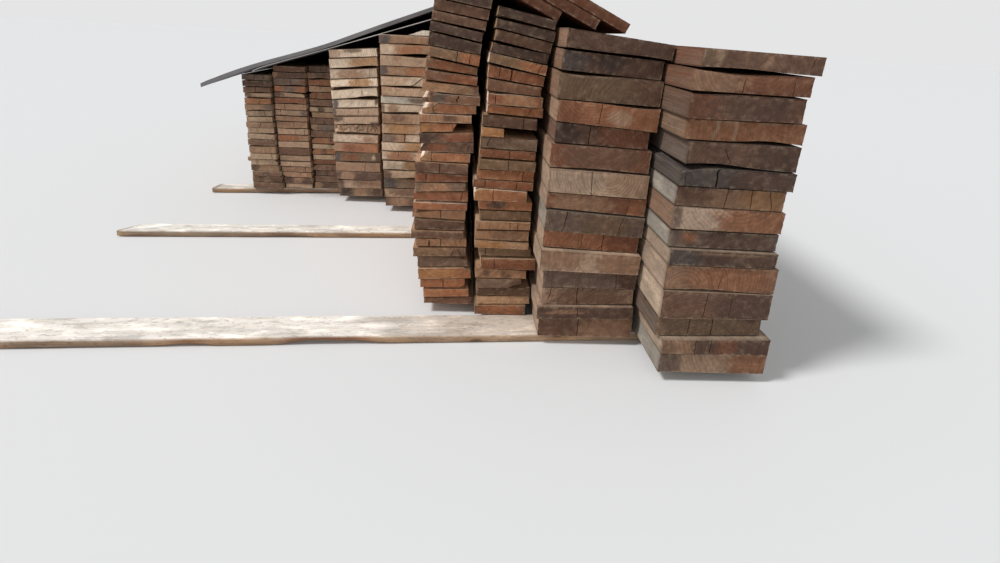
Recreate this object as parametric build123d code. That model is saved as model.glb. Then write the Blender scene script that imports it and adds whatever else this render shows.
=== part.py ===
from build123d import *
import os
from collections import namedtuple
from math import atan2, cos, sin

# A yard stack of rough-sawn boards in nine columns, end grain to the front.
# Millimetres. X runs to the right along the front, Y runs back along the boards, Z is up.

# Bearers: boards laid flat on the ground, across the stack
BEARER_THICK = 25.0
BEARER_LENGTH = 2000.0

# Board stock of the columns: thickness, width and length as sawn
NARROW_THICK = 27.0
NARROW_WIDTH = 134.0
TRIMMED_WIDTH = 125.0
SLIM_WIDTH = 112.0
MIDDLE_THICK = 39.0
MIDDLE_WIDTH = 202.0
THIN_THICK = 26.0
THIN_WIDTH = 142.0
THICK_THICK = 47.0
THICK_WIDTH = 245.0
SHORT_LENGTH = 3000.0
LONG_LENGTH = 4000.0

# Gap between a board and the one under it, where they touch
SEAT_GAP = 0.3

# Columns 1 to 9, left to right: free space before each one, and its front end from the front
# edge of the first bearer
SPACE_BEFORE = (19.0, 2.0, 15.0, 14.0, 24.0, 32.0, 11.0, 18.0, 8.0)
FRONTS = (1483.0, 1508.0, 1533.0, 1379.0, 1253.0, 190.0, 133.0, 3.0, -172.0)

# Boards lying askew on the columns 6 to 8
LOOSE_THICK = 26.0
LOOSE_WIDTH = 200.0
LOOSE_STEPS = (0.0, 92.0, 70.0)
LOOSE_OVERHANG = 6.0
LOOSE_FRONT = 180.0

# Narrow edging strip on column 5
STRIP_THICK = 22.0
STRIP_WIDTH = 95.0
STRIP_WANE = 60.0
STRIP_SETBACK = 60.0

# Two cover sheets: a thin one over the columns 2 to 5, and a thick one on it and on column 1.
# A tip is how far a sheet's free left end reaches past its last support, and how far down. The
# upper one's overhang narrows to its front corner, over a depth of its own. The clearance is to
# the side of column 6, where both end.
SHEET_LENGTH = 3000.0
LOWER_SHEET_THICK = 5.0
LOWER_SHEET_FRONT = 1370.0
LOWER_SHEET_TIP = (45.0, 20.0)
UPPER_SHEET_THICK = 18.0
UPPER_SHEET_FRONT = 1350.0
UPPER_SHEET_TIP = (126.0, 52.0)
UPPER_SHEET_CORNER = 150.0
UPPER_SHEET_RISE = 14.0
SHEET_CLEARANCE = 3.0

# A board: how much thicker than its stock at its left and right edge, how far its left edge is
# shifted, how much wider than its stock it is, how far its end sticks out to the front, and the
# side on which one long edge is cut away
Row = namedtuple("Row", "left right shift wider reach cut")
Row.__new__.__defaults__ = (None,)


def rows(*lines):
    """Board rows from the bottom up."""
    return [Row(*line) for line in lines]


COLUMN_1 = rows(
    (3, 3, 6, 10, 0), (2, 2, 4, 9, -4), (-4, -4, 8, 1, 3), (0, 1, 1, 4, -6), (0, -1, 5, -3, 0),
    (-1, 0, 6, -6, 5), (8, 7, 1, -3, -3), (1, 1, 0, -4, 2), (-1, 0, 0, -2, 0), (-2, -2, 2, -6, -5),
    (-3, -3, 0, -5, 3), (-3, -2, 3, -9, 0), (-2, -2, 0, -6, -4), (0, 0, 0, -4, 0), (0, 1, 2, -8, 2),
    (-7, -7, 3, -8, -5), (-1, -2, 0, -4, 0), (0, -1, 0, -6, 3), (-2, -1, -3, -4, -4),
)

COLUMN_2 = rows(
    (-4, -4, 20, -10, -6), (3, 3, 16, -5, 0), (-2, -2, 12, -2, 0), (-2, -1, 8, 2, 0), (-4, -4, 4, 5, 3),
    (0, 0, 1, 7, -5), (8, 8, -1, 7, 0), (3, 3, 1, 6, 3), (1, 1, 1, 5, 0), (2, 2, 0, 6, -4),
    (4, 3, -1, 6, 0), (-3, -2, -3, 9, 2), (-3, -3, -3, 10, -3), (0, 0, -1, 5, 0), (0, 0, -2, 6, -2),
    (-4, -4, -2, 2, 0), (0, 0, 1, 4, 3), (4, 4, -1, 7, -5), (-1, -1, -2, 9, 0), (-1, -1, 0, 6, -8),
)

COLUMN_3 = rows(
    (3, 3, 0, 0, 0), (2, 2, 4, -4, 0), (0, 0, 6, -6, -4), (-1, 0, 0, 0, 3), (-5, -5, 3, 0, 0),
    (-4, -4, 0, 0, -3), (0, 0, -2, 0, 0), (-4, -4, 0, -6, 2), (0, 0, -3, -6, 0), (5, 5, -6, 2, -5),
    (1, 1, -3, 3, 0), (3, 3, -6, 3, -2), (-2, -2, 5, -8, 4), (-3, -3, -5, -4, 0), (4, 4, -3, 0, -3),
    (4, 4, -3, 0, -4), (0, 0, -2, 3, 0), (2, 2, -5, 3, -3), (0, 0, -5, 3, 2), (0, 0, 0, -2, -6),
)

COLUMN_4 = rows(
    (2, 2, 14, -8, -20), (-1, -1, 12, -8, -8), (1, 1, 8, -4, 0), (3, 3, 6, -4, 0), (3, 3, 4, -2, -6),
    (3, 2, 3, -8, 4), (-1, -1, -1, -4, 0), (0, 4, 4, 0, -10), (-8, -1, 8, -8, 6), (-5, -1, 6, -5, 0),
    (-2, -1, 5, -6, -4), (5, 5, 3, -4, 5), (0, 0, 0, 0, 0), (4, 4, 0, -2, -5), (1, 1, -1, 2, 2),
    (-4, -4, 0, 0, 0),
)

COLUMN_5 = rows(
    (1, 1, 12, -4, 0), (0, 0, 8, -4, 0), (4, 4, 6, -2, -4), (-4, -4, 6, -4, 5), (2, 2, 4, -3, 0),
    (-1, -1, 0, 0, 2), (-1, -1, 0, 0, 0), (-3, -3, 3, -2, -3), (2, 2, 2, 0, 0), (4, 4, 4, -4, 4),
    (-3, -3, 2, -2, 0), (-8, -8, 0, -2, -6), (-1, -1, 3, -2, 3), (2, 2, 0, 0, 0), (-2, -2, -2, 0, -4),
    (4, 4, 0, -2, 0), (3, 3, 0, -2, 2), (-6, -6, -3, 0, 4),
)

COLUMN_6 = rows(
    (-3, 2, 10, -4, 0), (-1, -2, 9, -12, 4), (2, 4, 0, -15, 0), (7, 7, -5, 6, 6), (7, 4, -8, 0, -4),
    (0, 0, -20, 5, 3), (1, -2, -12, -2, -3), (-3, -1, -25, 2, 8), (5, 0, -17, -3, 0), (-1, 1, -23, 4, -6),
    (-4, -4, -20, 5, 5), (-1, 5, -19, 5, 0), (0, -3, -15, -5, 4), (1, -3, -16, 0, 0), (2, 2, -16, 0, 6),
    (-2, 0, -3, -8, -4), (-5, 4, -2, -1, 0), (2, -3, -3, 0, 3), (-1, -3, -3, -44, 0, "right"),
    (-4, -3, -6, -4, 4), (0, -4, 1, 0, -5, "left"), (3, -3, 3, 6, 6, "left"), (1, -3, 2, 2, 0),
    (1, -3, 6, -6, 3), (3, -4, 9, -10, -4), (0, 3, 16, -13, 5), (6, 3, 16, -10, -3), (-1, -1, 18, -10, 0),
    (-1, 1, 23, -7, 0), (0, 0, 27, -4, -5), (0, 1, 31, -3, 2), (0, 0, 34, -4, 0),
)

COLUMN_7 = rows(
    (1, 5, 0, 0, 4), (-1, -1, 6, 5, -3), (-3, -1, 3, 7, 0), (4, -2, 5, -20, 4), (3, 1, -2, -1, 0),
    (5, 7, 11, 8, 6), (-1, -1, 6, 0, -4), (-3, -5, -6, 4, 3), (2, 5, -6, 3, 0), (-3, -1, -6, 5, 5),
    (2, 0, 4, -4, -3), (0, -1, 1, -1, 0), (7, 3, -12, -4, 8), (-5, -3, -16, 15, 0), (0, 1, -6, 6, -4),
    (1, 0, -3, 5, 4), (-1, -2, -2, 2, 0), (3, 7, -1, 4, -5), (-2, -4, 1, -84, 6),
    (4, 4, 2, -4, 0), (-2, -2, 12, 0, -4), (6, 1, 13, -5, 5), (2, -3, 10, -7, 0), (7, -1, 11, -3, -3),
    (1, 1, 10, 1, 3), (-1, -1, 16, -2, -6), (3, 1, 24, -5, 0), (0, 0, 24, 0, 3), (0, -1, 27, -1, -4),
)

COLUMN_8 = rows(
    (5, 10, 2, 3, 0), (-11, -12, -5, 5, 10), (0, -4, 7, -8, -4), (2, -3, 5, -5, 0), (8, 3, -8, 6, 16),
    (-2, -4, -2, -5, -6), (7, 5, -2, 0, 4), (-7, -2, -3, 0, 0), (11, 10, -1, -3, 5), (11, 10, -1, -4, -3),
    (0, -4, 7, -21, -8), (3, 9, 6, -7, 5), (15, 11, 5, -5, 0), (-1, -5, 10, -14, -5), (-3, -11, 14, -2, 4),
)

COLUMN_9 = rows(
    (4, 6, 15, 14, 6), (-9, -5, 13, 12, 14), (4, -1, 0, 5, -8), (22, 16, -1, 11, 8), (13, 13, -2, 14, 4),
    (-9, -9, 0, 0, 10), (-6, -7, -3, 2, -5), (4, 2, -3, 4, 0), (-3, -2, -2, -2, -6),
    (-3, -5, -4, 7, 8), (4, 7, 6, -2, 0), (-5, -1, -2, 11, -7), (7, 5, -6, -2, 5), (-3, -5, -5, 5, 0),
    (-8, -9, 9, 7, -3),
)

SCHEDULES = (COLUMN_1, COLUMN_2, COLUMN_3, COLUMN_4, COLUMN_5, COLUMN_6, COLUMN_7, COLUMN_8, COLUMN_9)
THICKNESSES = (NARROW_THICK,) * 3 + (MIDDLE_THICK,) * 2 + (THIN_THICK,) * 2 + (THICK_THICK,) * 2
FRONT_WIDTHS = (MIDDLE_WIDTH,) * 2 + (THIN_WIDTH,) * 2 + (THICK_WIDTH,) * 2
WIDTHS = (TRIMMED_WIDTH, NARROW_WIDTH, SLIM_WIDTH) + FRONT_WIDTHS
LENGTHS = (SHORT_LENGTH,) * 5 + (LONG_LENGTH,) * 4

# Bearers from front to back: width, left front corner, and turn from square in degrees
Bearer = namedtuple("Bearer", "width corner_x corner_y turn")
SEEN_BEARERS = (
    Bearer(124.0, -259.0, -96.0, 4.4),
    Bearer(90.0, -250.0, 784.0, 5.0),
    Bearer(85.0, -160.0, 1470.0, 7.0),
)
FAR_BEARER_PLACES = (0.56 * LONG_LENGTH, 0.735 * LONG_LENGTH, 0.91 * LONG_LENGTH)
BEARERS = SEEN_BEARERS + tuple(Bearer(100.0, -240.0, place, 3.0) for place in FAR_BEARER_PLACES)


def prism(points, front, length):
    """Solid with the XZ outline `points`, running back from `front`."""
    wire = Wire.make_polygon([Vector(x, front, z) for x, z in points], close=True)
    return Solid.extrude(Face(wire), Vector(0, length, 0))


def bearer(spec):
    """Flat board turned a little about its left front corner."""
    plan = Pos(spec.corner_x, spec.corner_y, 0) * Rot(0, 0, spec.turn)
    blank = Box(BEARER_LENGTH, spec.width, BEARER_THICK, align=(Align.MIN, Align.MIN, Align.MIN))
    return plan * blank


def section(row, thick, width, base, slope):
    """Outline of one board, lying on a line that starts at height `base` with `slope`."""
    left = row.shift
    right = row.shift + width + row.wider
    lean = -slope * thick
    low_left = base + slope * left
    low_right = base + slope * right
    top_left = low_left + slope * lean + thick + row.left
    top_right = low_right + slope * lean + thick + row.right
    corners = [(left, low_left), (right, low_right), (right + lean, top_right), (left + lean, top_left)]
    wane = 0.5 * thick
    if row.cut == "right":
        corners[1] = (right - wane, low_right - slope * wane)
    if row.cut == "left":
        pitch = (top_right - top_left) / (right - left)
        corners[3] = (left + lean + wane, top_left + pitch * wane)
        corners.append((left + 0.5 * lean, low_left + 0.6 * thick))
    return corners


def pile(schedule, thick, width):
    """Board outlines of a column, each resting on the top of the one below."""
    outlines = []
    base = BEARER_THICK + SEAT_GAP
    slope = 0.0
    for row in schedule:
        outline = section(row, thick, width, base, slope)
        right_x, right_z = outline[2]
        left_x, left_z = outline[3]
        slope = (right_z - left_z) / (right_x - left_x)
        base = left_z - slope * left_x + SEAT_GAP
        outlines.append(outline)
    return outlines


def column(index, left):
    """Solids of one column and its outlines, shifted to its left edge."""
    thick = THICKNESSES[index]
    width = WIDTHS[index]
    outlines = [[(left + x, z) for x, z in line] for line in pile(SCHEDULES[index], thick, width)]
    solids = []
    for row, outline in zip(SCHEDULES[index], outlines):
        solids.append(prism(outline, FRONTS[index] - row.reach, LENGTHS[index]))
    return solids, outlines


def save(name, shapes):
    """Gather a node's solids."""
    nodes[name] = Compound(shapes) if len(shapes) > 1 else shapes[0]


nodes = {}
tops = {}
edge = 0.0
for index in range(len(SCHEDULES)):
    edge += SPACE_BEFORE[index]
    boards, outlines = column(index, edge)
    save("column_%d_boards" % (index + 1), boards)
    tops[index + 1] = outlines
    edge += WIDTHS[index]

for number, spec in enumerate(BEARERS, 1):
    save("bearer_%d" % number, [bearer(spec)])


def top_corners(column_number):
    """Left and right upper corners of a column's top board."""
    outline = tops[column_number][-1]
    return outline[3], outline[2]


# Loose boards: the first leans from the right edge of column 6 onto that of column 7
prop_x, prop_z = top_corners(6)[1]
foot_x, foot_z = top_corners(7)[1]
slope = atan2(prop_z - foot_z, foot_x - prop_x)
along = (cos(slope), -sin(slope))
outward = (sin(slope), cos(slope))
low_x = foot_x + SEAT_GAP * outward[0] + LOOSE_OVERHANG * along[0]
low_z = foot_z + SEAT_GAP * outward[1] + LOOSE_OVERHANG * along[1]
for number, step in enumerate(LOOSE_STEPS, 1):
    low_x += step * along[0]
    low_z += step * along[1]
    inner = (low_x - LOOSE_WIDTH * along[0], low_z - LOOSE_WIDTH * along[1])
    outer = (inner[0] + LOOSE_THICK * outward[0], inner[1] + LOOSE_THICK * outward[1])
    upper = (low_x + LOOSE_THICK * outward[0], low_z + LOOSE_THICK * outward[1])
    save("loose_board_%d" % number, [prism([(low_x, low_z), upper, outer, inner], LOOSE_FRONT, LONG_LENGTH)])
    low_x += (LOOSE_THICK + SEAT_GAP) * outward[0]
    low_z += (LOOSE_THICK + SEAT_GAP) * outward[1]

# Edging strip on the right of column 5, with a waney left edge
strip_right, strip_base = top_corners(5)[1]
strip_base += SEAT_GAP
strip_left = strip_right - STRIP_WIDTH
strip = [
    (strip_left, strip_base),
    (strip_right, strip_base),
    (strip_right, strip_base + STRIP_THICK),
    (strip_left + STRIP_WANE, strip_base + STRIP_THICK),
]
save("edging_strip", [prism(strip, FRONTS[4] + STRIP_SETBACK, SHORT_LENGTH)])


def sheet(line, thick, front):
    """Sheet bent along an XZ line, its lower face on that line."""
    upper = [(x, z + thick) for x, z in reversed(line)]
    return prism(line + upper, front, SHEET_LENGTH)


def run_on(supports, tip):
    """Line from a free tip through the supports, carried on at its last slope to column 6."""
    reach, drop = tip
    (x0, z0), (x1, z1) = supports[-2:]
    rest_x = tops[6][-4][3][0] - SHEET_CLEARANCE
    rest_z = z1 + (rest_x - x1) * (z1 - z0) / (x1 - x0)
    return [(supports[0][0] - reach, supports[0][1] - drop)] + supports + [(rest_x, rest_z)]


# Cover sheets: over the left upper corners of columns 1, 2, 4 and 5, up to the side of column 6
supports = [top_corners(number)[0] for number in (1, 2, 4, 5)]
lifts = (0.0, LOWER_SHEET_THICK + SEAT_GAP, LOWER_SHEET_THICK + SEAT_GAP, LOWER_SHEET_THICK + UPPER_SHEET_RISE)
lower_line = run_on([(x, z + SEAT_GAP) for x, z in supports[1:]], LOWER_SHEET_TIP)
save("cover_sheet_lower", [sheet(lower_line, LOWER_SHEET_THICK, LOWER_SHEET_FRONT)])
upper_line = run_on([(x, z + SEAT_GAP + lift) for (x, z), lift in zip(supports, lifts)], UPPER_SHEET_TIP)
tip_x, tip_z = upper_line[0]
support_x = upper_line[1][0]
cut_plan = Polygon(
    (tip_x, UPPER_SHEET_FRONT),
    (support_x, UPPER_SHEET_FRONT + UPPER_SHEET_CORNER),
    (support_x, UPPER_SHEET_FRONT + SHEET_LENGTH),
    (tip_x, UPPER_SHEET_FRONT + SHEET_LENGTH),
    align=None,
)
cut = extrude(Pos(0, 0, tip_z) * cut_plan, UPPER_SHEET_TIP[1] + UPPER_SHEET_THICK)
save("cover_sheet_upper", [sheet(upper_line, UPPER_SHEET_THICK, UPPER_SHEET_FRONT) - cut])

# The origin is the middle of the stack's footprint, on the ground
box = Compound(list(nodes.values())).bounding_box()
shift = Pos(-box.center().X, -box.center().Y, -box.min.Z)

os.makedirs("parts", exist_ok=True)
for name, shape in nodes.items():
    export_step(shift * shape, "parts/%s.step" % name)
print("stack size", box.size, "moved by", -box.center().X, -box.center().Y)
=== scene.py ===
from collections import namedtuple
from math import radians

import bpy
import numpy as np
from mathutils import Euler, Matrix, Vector

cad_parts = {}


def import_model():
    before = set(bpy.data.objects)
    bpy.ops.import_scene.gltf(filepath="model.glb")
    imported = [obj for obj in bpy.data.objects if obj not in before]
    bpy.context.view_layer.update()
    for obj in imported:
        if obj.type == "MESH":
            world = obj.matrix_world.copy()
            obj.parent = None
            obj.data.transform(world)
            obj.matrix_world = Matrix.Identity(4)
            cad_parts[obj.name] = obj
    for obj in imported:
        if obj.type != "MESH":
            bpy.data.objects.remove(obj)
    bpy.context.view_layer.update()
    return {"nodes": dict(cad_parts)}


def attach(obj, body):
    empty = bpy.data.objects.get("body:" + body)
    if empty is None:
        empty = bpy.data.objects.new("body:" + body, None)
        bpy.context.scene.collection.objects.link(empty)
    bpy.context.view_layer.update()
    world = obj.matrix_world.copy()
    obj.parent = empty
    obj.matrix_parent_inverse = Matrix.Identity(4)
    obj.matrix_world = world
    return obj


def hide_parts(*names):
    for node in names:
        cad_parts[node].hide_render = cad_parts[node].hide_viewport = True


# Metres throughout. X runs right along the front of the stack, Y runs back along the boards, Z is up.
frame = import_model()


# Camera: place and angles of the photograph's view
CAMERA_PLACE = (0.2127, -3.6435, 0.750)
CAMERA_TURN = (68.63, -2.80, -2.86)
CAMERA_LENS = 22.795
CAMERA_SENSOR = 36.0


def srgb(red, green, blue):
    """Linear colour of an 8-bit display colour."""
    values = []
    for part in (red, green, blue):
        share = part / 255.0
        values.append(share / 12.92 if share <= 0.04045 else ((share + 0.055) / 1.055) ** 2.4)
    return tuple(values) + (1.0,)


# Tones of the wood
TONES = {
    "bleached": srgb(250, 245, 237),
    "white": srgb(238, 229, 214),
    "straw": srgb(206, 184, 154),
    "cream": srgb(186, 163, 136),
    "moss": srgb(176, 170, 152),
    "sand": srgb(166, 138, 110),
    "tan": srgb(146, 114, 87),
    "gold": srgb(152, 113, 75),
    "orange": srgb(144, 98, 68),
    "rust": srgb(124, 82, 58),
    "red": srgb(116, 75, 53),
    "brown": srgb(110, 82, 64),
    "olive": srgb(114, 93, 71),
    "grey": srgb(108, 91, 77),
    "umber": srgb(88, 67, 54),
    "slate": srgb(78, 71, 66),
    "dark": srgb(64, 51, 45),
}

# What a board shows. A crack's lean and width, a dip's depth and a bark edge's size are in metres. The
# other places and sizes are shares of the end's width and height, from its lower left.
Crack = namedtuple("Crack", "at lean low high wide", defaults=(0.0, -0.2, 1.2, 0.0019))
Mark = namedtuple("Mark", "tone at wide up high lean soft", defaults=(0.15, 0.5, 0.8, 0.0, 0.6))
Dip = namedtuple("Dip", "edge at deep wide", defaults=(0.004, 0.3))
Wane = namedtuple("Wane", "corner wide high")
Rough = namedtuple("Rough", "share")
Look = namedtuple("Look", "tone side features")


def look(tones, *features):
    """A board's tone on its ends, and on its sides if that isn't sand, with what it shows."""
    tone, side = (tones + " sand").split()[:2]
    return Look(tone, side, features)


def plain(words):
    """Looks of boards that only differ in tone, from the top down."""
    sides = ("sand", "cream", "tan", "sand", "grey")
    return [Look(word, sides[index % len(sides)], ()) for index, word in enumerate(words.split())]


# The columns' boards, from the top down
LOOKS = {}
LOOKS[1] = plain("grey umber brown sand orange tan sand sand tan sand sand brown tan sand sand tan "
                 "brown brown brown")
LOOKS[2] = plain("brown umber grey orange sand rust tan sand tan tan sand orange sand brown sand sand "
                 "tan tan umber sand")
LOOKS[3] = plain("umber brown rust tan rust brown sand tan brown grey brown orange sand orange sand "
                 "red brown umber brown umber")
LOOKS[4] = [
    look("straw", Mark("sand", 0.1), Mark("olive", 0.5, 0.2, 0.8, 0.3)),
    look("straw", Mark("gold", 0.75, 0.35, 0.6), Dip("bottom", 0.8)),
    look("cream", Mark("tan", 0.45, 0.3, 0.4, 0.5), Crack(0.84), Dip("top", 0.6, 0.005, 0.5)),
    look("straw", Mark("gold", 0.62, 0.25, 0.5, 0.7), Crack(0.55, 0.02, 0.4), Dip("bottom", 0.3, 0.003)),
    look("straw", Mark("brown", 0.66, 0.02, 0.45, 0.3, 0.0, 0.3), Dip("top", 0.1, 0.005),
         Dip("bottom", 0.8, 0.006)),
    look("straw", Mark("slate", 0.06, 0.07), Mark("umber", 0.97, 0.04, 0.7, 0.4), Dip("top", 0.9)),
    look("sand", Mark("slate", 0.03, 0.05), Crack(0.55, 0.01, 0.3), Dip("top", 0.5, 0.003)),
    look("sand", Mark("dark", 0.1, 0.12, 0.75, 0.4), Mark("dark", 0.92, 0.12, 0.1, 0.25),
         Dip("bottom", 0.6)),
    look("tan", Rough(0.7), Mark("sand", 0.4, 0.4, 0.5, 0.7), Dip("bottom", 0.5, 0.005, 0.5)),
    look("sand", Mark("cream", 0.3, 0.3), Mark("tan", 0.8, 0.1, 0.3, 0.4), Rough(0.1), Dip("top", 0.2)),
    look("orange", Mark("rust", 0.45, 0.25, 0.4, 0.5), Mark("tan", 0.1, 0.1)),
    look("olive", Mark("rust", 0.35, 0.2, 0.4, 0.4), Mark("cream", 0.86, 0.04, 0.45, 0.3, 0.0, 0.3),
         Mark("slate", 0.04, 0.08), Mark("umber", 0.95, 0.06, 0.4)),
    look("tan", Crack(0.66, 0.004), Mark("tan", 0.15, 0.2, 0.6), Dip("top", 0.4, 0.003)),
    look("umber", Mark("umber", 0.6, 0.15, 0.6, 0.4), Mark("tan", 0.25, up=0.4)),
    look("sand", Mark("umber", 0.05, 0.1, 0.4), Mark("tan", 0.7, 0.3)),
    look("olive", Mark("dark", 0.15, 0.15, 0.4, 0.6), Mark("tan", 0.5, up=0.6),
         Mark("umber", 0.9, 0.12, 0.4)),
]
LOOKS[5] = [
    look("tan", Mark("slate", 0.12, 0.13), Mark("tan", 0.42, up=0.4), Dip("bottom", 0.7, 0.003)),
    look("tan", Mark("orange", 0.62, 0.22, lean=0.2), Mark("cream", 0.15, up=0.3),
         Dip("bottom", 0.8, 0.005)),
    look("sand", Mark("tan", 0.35, 0.1, 0.75, 0.3), Mark("sand", 0.75), Dip("top", 0.8)),
    look("tan cream", Mark("slate", 0.06, 0.1, 0.6), Mark("orange", 0.75, 0.2)),
    look("cream", Crack(0.76, 0.05, wide=0.007), Mark("sand", 0.3, 0.25, 0.6), Dip("bottom", 0.6)),
    look("tan", Mark("sand", 0.5, 0.4, 0.4), Dip("top", 0.5, 0.003)),
    look("straw", Mark("moss", 0.5, 0.5, 0.6), Mark("grey", 0.75, 0.2, 0.5, 0.4)),
    look("cream", Mark("brown", 0.03, 0.04), Mark("tan", 0.25, 0.1, 0.4), Dip("bottom", 0.7, 0.006, 0.4)),
    look("tan", Mark("brown", 0.35, 0.15, 0.6, 0.4), Mark("sand", 0.8, up=0.4), Dip("top", 0.2)),
    look("sand", Mark("gold", 0.4, 0.3)),
    look("tan", Mark("grey", 0.15), Crack(0.48, wide=0.005), Mark("cream", 0.7, 0.2)),
    look("sand", Mark("gold", 0.7, 0.2, 0.4), Mark("cream", 0.2, 0.2)),
    look("cream", Mark("orange", 0.4, 0.3), Crack(0.35, low=0.4)),
    look("cream", Mark("gold", 0.7, 0.25), Dip("bottom", 0.3, 0.003)),
    look("sand", Mark("umber", 0.05, 0.13, 0.4), Mark("tan", 0.8), Dip("bottom", 0.8)),
    look("olive", Mark("brown", 0.75, 0.2), Mark("slate", 0.1, 0.2), Dip("top", 0.6)),
    look("sand", Mark("brown", 0.5, 0.4, 0.6, 0.5)),
    look("brown", Mark("tan", 0.3, 0.2)),
]
# The dark tones of the top six boards are painted shade: the shade under the cover sheets above them
LOOKS[6] = [
    look("umber"),
    look("dark"),
    look("umber tan"),
    look("umber"),
    look("dark"),
    look("dark"),
    look("olive cream", Crack(0.55), Crack(0.8), Mark("orange", 0.85, 0.25)),
    look("olive", Mark("rust", 0.5, 0.4)),
    look("red cream", Mark("brown", 0.2, 0.2)),
    look("tan", Mark("umber", 0.95, 0.2), Mark("olive", 0.7, 0.2, 0.3)),
    look("brown white", Crack(0.61, 0.0, 0.2, 0.9, 0.004), Crack(0.1), Mark("slate", 0.3, 0.12, 0.6),
         Wane("tl", 0.022, 0.016)),
    look("tan white", Crack(0.23), Mark("orange", 0.6, 0.3), Wane("tl", 0.03, 0.018)),
    look("tan white", Mark("umber", 0.58, 0.15, 0.6, 0.5)),
    look("gold cream", Mark("orange", 0.7, 0.35)),
    look("umber", Mark("dark", 0.1, 0.2, 0.8), Mark("red", 0.7, 0.25)),
    look("umber white", Crack(0.9, 0.01, 0.2), Mark("rust", 0.3, 0.2), Wane("tl", 0.012, 0.01)),
    look("tan white", Crack(0.24), Mark("orange", 0.6, 0.35), Wane("tl", 0.024, 0.016)),
    look("umber", Crack(0.47)),
    look("red white", Crack(0.22)),
    look("grey", Mark("tan", 0.4, 0.3, 0.3)),
    look("rust cream", Crack(0.88, 0.004, 0.1)),
    look("rust white", Mark("orange", 0.2, 0.3)),
    look("tan", Crack(0.53), Dip("top", 0.1, 0.006)),
    look("umber cream"),
    look("umber", Dip("bottom", 0.3, 0.003)),
    look("tan cream", Crack(0.26, high=0.6, wide=0.005), Crack(0.49)),
    look("olive", Crack(0.75, 0.012), Crack(0.88, -0.012), Mark("umber", 0.9)),
    look("grey", Wane("tr", 0.03, 0.014)),
    look("orange cream", Wane("tr", 0.022, 0.012), Mark("gold", 0.3, 0.4)),
    look("orange", Crack(0.5), Wane("br", 0.016, 0.01)),
    look("orange", Mark("orange", 0.7, 0.3)),
    look("brown", Mark("brown", 0.8, 0.3)),
]
# The dark tones of the top four boards are painted shade: the shade under the cover sheets above them
LOOKS[7] = [
    look("dark"),
    look("dark"),
    look("umber"),
    look("dark tan"),
    look("olive white", Crack(0.87, 0.008), Mark("orange", 0.8, 0.3)),
    look("rust cream", Crack(0.2), Crack(0.41, wide=0.004)),
    look("brown cream"),
    look("rust white", Crack(0.14), Mark("tan", 0.6, 0.3, 0.3), Dip("top", 0.15, 0.005, 0.2)),
    look("orange white", Crack(0.75, 0.01, 0.3)),
    look("umber", Crack(0.75)),
    look("gold cream"),
    look("grey", Crack(0.14, 0.01)),
    look("red", Crack(0.53)),
    look("olive", Crack(0.52)),
    look("orange", Crack(0.8)),
    look("rust cream", Crack(0.2), Crack(0.72)),
    look("gold white", Crack(0.37), Wane("tl", 0.012, 0.01), Mark("orange", 0.6, 0.4)),
    look("orange", Mark("dark", 0.35, 0.2, 0.6, 0.5)),
    look("olive"),
    look("tan cream", Crack(0.63), Crack(0.77)),
    look("tan", Mark("brown", 0.6, 0.3)),
    look("sand cream", Mark("gold", 0.3, 0.3)),
    look("olive", Crack(0.13)),
    look("rust cream", Crack(0.25)),
    look("tan", Mark("umber", 0.2, 0.1, 0.5, 0.4), Mark("umber", 0.6, 0.1, 0.4, 0.4)),
    look("grey", Wane("br", 0.03, 0.014), Mark("umber", 0.9, 0.2, 0.4)),
    look("umber"),
    look("sand cream"),
    look("brown", Mark("orange", 0.5, 0.4)),
]
LOOKS[8] = [
    look("umber tan", Mark("umber", 0.75, 0.4, 0.4), Dip("bottom", 0.75, 0.003)),
    look("umber tan", Mark("dark", 0.45, 0.17, 0.6, 0.5), Mark("slate", 0.1)),
    look("olive tan", Mark("brown", 0.95, 0.2), Dip("top", 0.2, 0.005)),
    look("orange", Crack(0.42, 0.003, 0.2), Mark("sand", 0.62, 0.12, 0.45, 0.35), Mark("rust", 0.05, 0.2),
         Dip("top", 0.8, 0.005)),
    look("umber brown", Crack(0.36), Mark("dark", 0.1, up=0.4), Mark("red", 0.75, 0.3)),
    look("rust", Mark("brown", 0.5, 0.4, 0.6), Dip("bottom", 0.45, 0.003)),
    look("straw cream", Crack(0.43, -0.004), Mark("cream", 0.25, 0.3, 0.6), Mark("sand", 0.85, 0.3, 0.6)),
    look("rust cream", Crack(0.82, 0.008, high=0.7), Mark("tan", 0.35, 0.3), Mark("orange", 0.93, 0.1)),
    look("grey moss", Crack(0.76, 0.01), Crack(0.2, 0.008), Mark("olive", 0.6, 0.25, 0.4)),
    look("orange cream", Crack(0.4, high=0.8, wide=0.0012), Crack(0.62), Mark("red", 0.85, 0.2)),
    look("cream straw", Mark("tan", 0.8, 0.25), Mark("tan", 0.2, 0.25, 0.8)),
    look("grey cream", Crack(0.78, -0.003), Mark("umber", 0.9, 0.1)),
    look("sand cream", Crack(0.38), Crack(0.08, 0.01, 0.3), Mark("brown", 0.5, 0.4, 0.4)),
    look("umber cream", Crack(0.42, wide=0.0016), Mark("tan", 0.3, 0.2, 0.55, 0.15)),
    look("brown cream", Crack(0.42), Mark("tan", 0.7, 0.3, 0.4)),
]
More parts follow.
